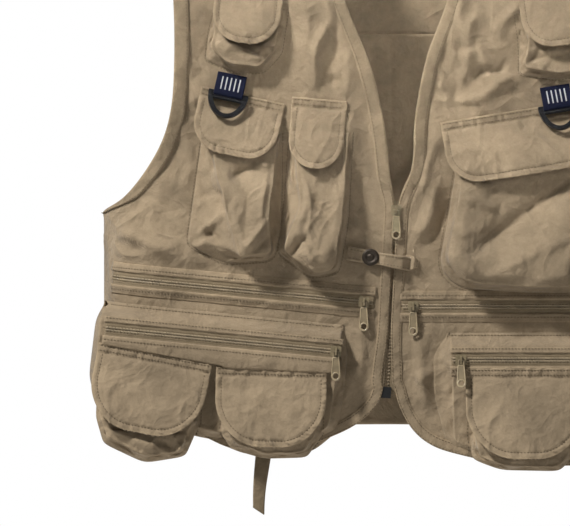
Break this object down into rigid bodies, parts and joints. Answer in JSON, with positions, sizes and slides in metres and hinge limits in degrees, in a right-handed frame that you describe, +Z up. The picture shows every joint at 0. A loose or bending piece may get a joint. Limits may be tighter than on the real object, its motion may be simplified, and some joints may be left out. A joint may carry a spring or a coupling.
{
  "type": "fishing vest",
  "caption": "Waist-length sleeveless multi-pocket vest with a zip front, flapped and zipped pockets, two accessory rings and a snap tab.",
  "frame": {"origin": "crown of the inside of the hanger loop at the back of the neck", "axes": "+Z up, -Y the front of the wearer, +X the wearer's left"},
  "size_m": [0.515, 0.1467, 0.607],
  "materials": {
    "twill": "cotton twill, washed",
    "binding": "twill tape",
    "lining": "plain weave",
    "zip_tape": "woven tape",
    "zip_coil": "nylon coil",
    "slider_paint": "satin paint",
    "pull_paint": "satin paint",
    "main_pull_paint": "satin paint",
    "retainer_plastic": "moulded",
    "ring_plastic": "moulded",
    "webbing": "woven nylon",
    "snap_metal": "antiqued dark",
    "loop_pile": "brushed pile"
  },
  "bodies": {
    "vest": {"armhole_binding_left": "binding", "armhole_binding_right": "binding", "back_panel": "twill", "back_yoke": "twill", "bellows_pocket_left": "twill", "bellows_pocket_right": "twill", "chest_inner_right_pouch": "twill", "chest_left_pouch": "twill", "chest_outer_right_pouch": "twill", "flap_bands": "twill", "front_panel_left": "twill", "front_panel_right": "twill", "hanger_loop": "twill", "inner_pocket_bags": "lining", "loop_patches": "loop_pile", "lower_inner_left_pouch": "twill", "lower_inner_right_pouch": "twill", "lower_outer_left_pouch": "twill", "lower_outer_right_pouch": "twill", "main_zip_coils": "zip_coil", "main_zip_retainer": "retainer_plastic", "main_zip_tapes": "zip_tape", "main_zip_top_stops": "slider_paint", "neck_binding": "binding", "placket_left": "twill", "placket_right": "twill", "pocket_zip_coils": "zip_coil", "pocket_zip_tapes": "zip_tape", "ring_webbings": "webbing", "snap_post": "snap_metal", "snap_stud": "snap_metal", "upper_left_pouch": "twill", "upper_right_pouch": "twill"},
    "main_slider": {"main_zip_slider": "slider_paint"},
    "main_pull": {"main_zip_pull": "main_pull_paint"},
    "upper_right_slider": {"upper_right_zip_slider": "slider_paint"},
    "upper_right_pull": {"upper_right_zip_pull": "pull_paint"},
    "upper_left_slider": {"upper_left_zip_slider": "slider_paint"},
    "upper_left_pull": {"upper_left_zip_pull": "pull_paint"},
    "lower_right_slider": {"lower_right_zip_slider": "slider_paint"},
    "lower_right_pull": {"lower_right_zip_pull": "pull_paint"},
    "lower_left_slider": {"lower_left_zip_slider": "slider_paint"},
    "lower_left_pull": {"lower_left_zip_pull": "pull_paint"},
    "upper_right_flap_body": {"upper_right_flap": "twill"},
    "upper_left_flap_body": {"upper_left_flap": "twill"},
    "chest_outer_right_flap_body": {"chest_outer_right_flap": "twill"},
    "chest_inner_right_flap_body": {"chest_inner_right_flap": "twill"},
    "chest_left_flap_body": {"chest_left_flap": "twill"},
    "lower_outer_right_flap_body": {"lower_outer_right_flap": "twill"},
    "lower_inner_right_flap_body": {"lower_inner_right_flap": "twill"},
    "lower_inner_left_flap_body": {"lower_inner_left_flap": "twill"},
    "lower_outer_left_flap_body": {"lower_outer_left_flap": "twill"},
    "ring_right": {"d_ring_right": "ring_plastic"},
    "ring_left": {"d_ring_left": "ring_plastic"},
    "tab": {"closure_tab": "twill", "snap_cap": "snap_metal", "snap_socket": "snap_metal"},
    "strap": {"hem_loop": "twill"}
  },
  "joints": [
    {"name": "main_zip_slide", "type": "slide", "parent": "vest", "child": "main_slider", "axis": [0.0548, 0, 0.9985], "range_m": [-0.143, 0]},
    {"name": "main_pull_swing", "type": "hinge", "parent": "main_slider", "child": "main_pull", "pos_m": [0.00556, -0.083, -0.34099], "axis": [-1, 0, 0], "range_deg": [0, 150]},
    {"name": "upper_right_zip_slide", "type": "slide", "parent": "vest", "child": "upper_right_slider", "axis": [0.9955, 0, -0.095], "range_m": [-0.16, 0]},
    {"name": "upper_right_pull_swing", "type": "hinge", "parent": "upper_right_slider", "child": "upper_right_pull", "pos_m": [-0.02195, -0.0842, -0.41905], "axis": [-1, 0, 0], "range_deg": [0, 150]},
    {"name": "upper_left_zip_slide", "type": "slide", "parent": "vest", "child": "upper_left_slider", "axis": [1, 0, 0], "range_m": [0, 0.16]},
    {"name": "upper_left_pull_swing", "type": "hinge", "parent": "upper_left_slider", "child": "upper_left_pull", "pos_m": [0.02, -0.0842, -0.423], "axis": [-1, 0, 0], "range_deg": [0, 150]},
    {"name": "lower_right_zip_slide", "type": "slide", "parent": "vest", "child": "lower_right_slider", "axis": [0.9951, 0, -0.0985], "range_m": [-0.168, 0]},
    {"name": "lower_right_pull_swing", "type": "hinge", "parent": "lower_right_slider", "child": "lower_right_pull", "pos_m": [-0.04596, -0.0982, -0.46081], "axis": [-1, 0, 0], "range_deg": [0, 150]},
    {"name": "lower_left_zip_slide", "type": "slide", "parent": "vest", "child": "lower_left_slider", "axis": [1, 0, 0], "range_m": [0, 0.16]},
    {"name": "lower_left_pull_swing", "type": "hinge", "parent": "lower_left_slider", "child": "lower_left_pull", "pos_m": [0.06, -0.0982, -0.468], "axis": [-1, 0, 0], "range_deg": [0, 130]},
    {"name": "upper_right_flap_lift", "type": "hinge", "parent": "vest", "child": "upper_right_flap_body", "pos_m": [-0.11794, -0.08232, -0.14751], "axis": [-0.9925, 0, 0.1219], "range_deg": [0, 110]},
    {"name": "upper_left_flap_lift", "type": "hinge", "parent": "vest", "child": "upper_left_flap_body", "pos_m": [0.13794, -0.08232, -0.14951], "axis": [-0.9925, 0, -0.1219], "range_deg": [0, 110]},
    {"name": "chest_outer_right_flap_lift", "type": "hinge", "parent": "vest", "child": "chest_outer_right_flap_body", "pos_m": [-0.1259, -0.08232, -0.25002], "axis": [-0.9781, 0, 0.2079], "range_deg": [0, 90]},
    {"name": "chest_inner_right_flap_lift", "type": "hinge", "parent": "vest", "child": "chest_inner_right_flap_body", "pos_m": [-0.05996, -0.08232, -0.25351], "axis": [-0.9962, 0, 0.0872], "range_deg": [0, 110]},
    {"name": "chest_left_flap_lift", "type": "hinge", "parent": "vest", "child": "chest_left_flap_body", "pos_m": [0.10692, -0.08232, -0.26351], "axis": [-0.9877, 0, -0.1564], "range_deg": [0, 90]},
    {"name": "lower_outer_right_flap_lift", "type": "hinge", "parent": "vest", "child": "lower_outer_right_flap_body", "pos_m": [-0.19991, -0.09632, -0.46952], "axis": [-0.9816, 0, 0.1908], "range_deg": [0, 110]},
    {"name": "lower_inner_right_flap_lift", "type": "hinge", "parent": "vest", "child": "lower_inner_right_flap_body", "pos_m": [-0.10049, -0.09632, -0.48151], "axis": [-0.9997, 0, 0.0262], "range_deg": [0, 110]},
    {"name": "lower_inner_left_flap_lift", "type": "hinge", "parent": "vest", "child": "lower_inner_left_flap_body", "pos_m": [0.114, -0.09632, -0.48211], "axis": [-1, 0, 0], "range_deg": [0, 110]},
    {"name": "lower_outer_left_flap_lift", "type": "hinge", "parent": "vest", "child": "lower_outer_left_flap_body", "pos_m": [0.20798, -0.09632, -0.48431], "axis": [-0.9994, 0, -0.0349], "range_deg": [0, 110]},
    {"name": "ring_right_swing", "type": "hinge", "parent": "vest", "child": "ring_right", "pos_m": [-0.137, -0.086, -0.2425], "axis": [-0.9781, 0, 0.2079], "range_deg": [0, 150]},
    {"name": "ring_left_swing", "type": "hinge", "parent": "vest", "child": "ring_left", "pos_m": [0.143, -0.086, -0.2525], "axis": [-0.9877, 0, -0.1564], "range_deg": [0, 150]},
    {"name": "tab_open", "type": "hinge", "parent": "vest", "child": "tab", "pos_m": [0.01871, -0.0811, -0.3873], "axis": [0.1736, 0, 0.9848], "range_deg": [0, 110]},
    {"name": "hem_loop_swing", "type": "hinge", "parent": "vest", "child": "strap", "pos_m": [-0.107, -0.076, -0.545], "axis": [-1, 0, 0], "range_deg": [-35, 25]}
  ],
  "couplings": [
    {"joint": "ring_right_swing", "follows": "chest_outer_right_flap_lift", "ratio": 1},
    {"joint": "ring_left_swing", "follows": "chest_left_flap_lift", "ratio": 1}
  ]
}
